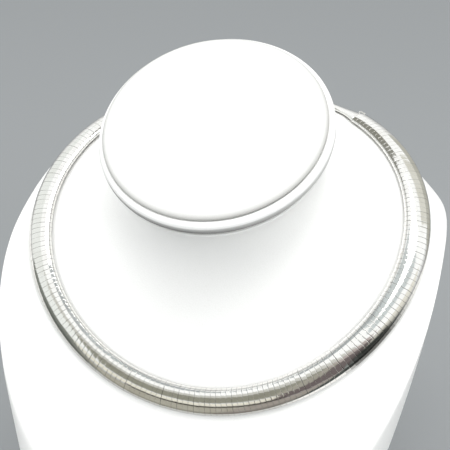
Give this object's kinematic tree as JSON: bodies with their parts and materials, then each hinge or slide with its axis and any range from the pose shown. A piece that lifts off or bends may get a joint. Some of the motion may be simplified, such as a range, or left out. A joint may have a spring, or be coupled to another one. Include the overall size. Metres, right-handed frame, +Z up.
{
  "type": "omega necklace on a neck bust",
  "caption": "Stiff round necklace of narrow domed plates strung edge to edge and closed by a box clasp, lying on the shoulders of a plain covered neck bust.",
  "frame": {"origin": "middle of the bust's flat base, where it stands on the table", "axes": "+Z up, -Y towards the bust's front, +X to the right of someone who faces the bust"},
  "size_m": [0.165, 0.1721, 0.1982],
  "materials": {
    "bust_covering": "white leatherette, satin",
    "pad_covering": "white leatherette, satin",
    "welt_covering": "white leatherette, satin",
    "plate_silver": "polished silver",
    "ribbon_weave": "woven wire, dull",
    "clasp_silver": "polished silver"
  },
  "bodies": {
    "root": {"neck_bust": "bust_covering", "neck_pad": "pad_covering", "pad_welt": "welt_covering", "chain_plates": "plate_silver", "chain_ribbon": "ribbon_weave", "clasp": "clasp_silver"}
  },
  "joints": []
}
